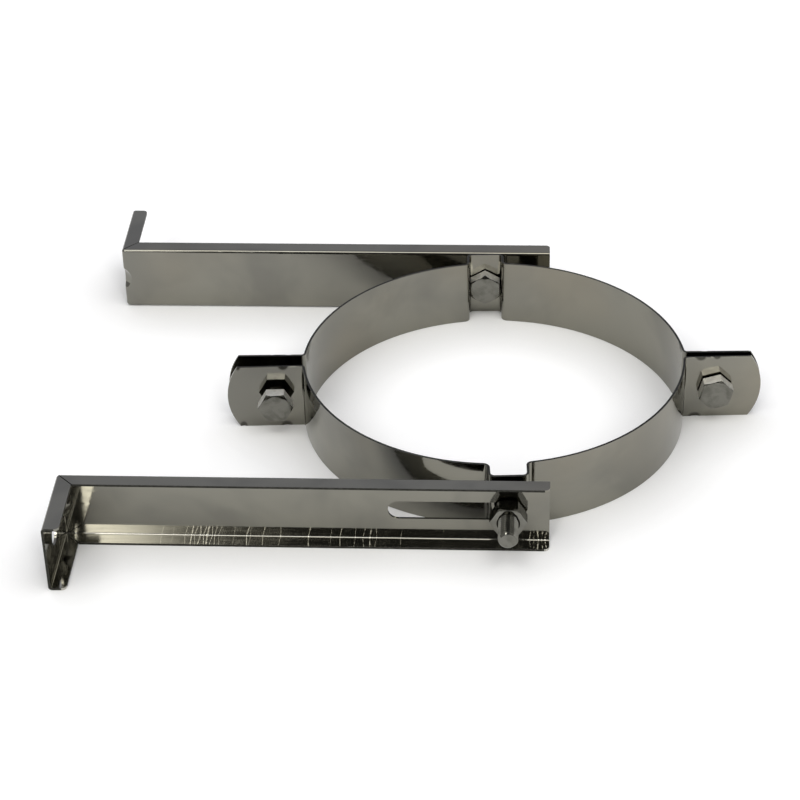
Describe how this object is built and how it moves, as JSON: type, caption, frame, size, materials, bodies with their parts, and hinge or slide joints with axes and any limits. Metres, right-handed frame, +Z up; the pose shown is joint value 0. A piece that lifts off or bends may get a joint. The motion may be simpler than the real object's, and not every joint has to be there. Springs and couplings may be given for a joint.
{
  "type": "flue pipe wall bracket",
  "caption": "Two-part band with bolted ears that clamps a round flue pipe, held off a wall by slotted channel arms with folded feet.",
  "frame": {"origin": "on the axis of the front half band, which is the pipe's axis, level with the band's lower edge", "axes": "+X leads away from the wall, along the arms; +Z is up along the pipe; the front arm and its feet are at -Y"},
  "size_m": [0.2842, 0.2436, 0.03],
  "materials": {
    "polished_sheet": "bright polished stainless sheet",
    "fastener_steel": "plain stainless, slightly matt"
  },
  "bodies": {
    "front_clamp": {"front_clamp_half": "polished_sheet", "right_ear_bolt": "fastener_steel", "front_arm_bolt": "fastener_steel"},
    "rear_clamp": {"rear_clamp_half": "polished_sheet", "left_ear_bolt": "fastener_steel", "left_ear_nut": "fastener_steel", "right_ear_nut": "fastener_steel", "rear_arm_bolt": "fastener_steel"},
    "front_swivel": {"front_arm_nut": "fastener_steel"},
    "front_arm": {"front_arm": "polished_sheet"},
    "rear_swivel": {"rear_arm_nut": "fastener_steel"},
    "rear_arm": {"rear_arm": "polished_sheet"}
  },
  "joints": [
    {"name": "clamp_close", "type": "slide", "parent": "front_clamp", "child": "rear_clamp", "axis": [-0.0593, 0.9982, 0], "range_m": [-0.0018, 0.0031]},
    {"name": "front_arm_swivel", "type": "hinge", "parent": "front_clamp", "child": "front_swivel", "pos_m": [0.00781, -0.09172, 0.0148], "axis": [0, 1, 0], "continuous": true},
    {"name": "front_arm_reach", "type": "slide", "parent": "front_swivel", "child": "front_arm", "axis": [1, 0, 0], "range_m": [-0.0004, 0.0435]},
    {"name": "rear_arm_swivel", "type": "hinge", "parent": "rear_clamp", "child": "rear_swivel", "pos_m": [-0.00515, 0.08192, 0.0148], "axis": [0, 1, 0], "continuous": true},
    {"name": "rear_arm_reach", "type": "slide", "parent": "rear_swivel", "child": "rear_arm", "axis": [1, 0, 0], "range_m": [-0.0134, 0.0305]}
  ]
}
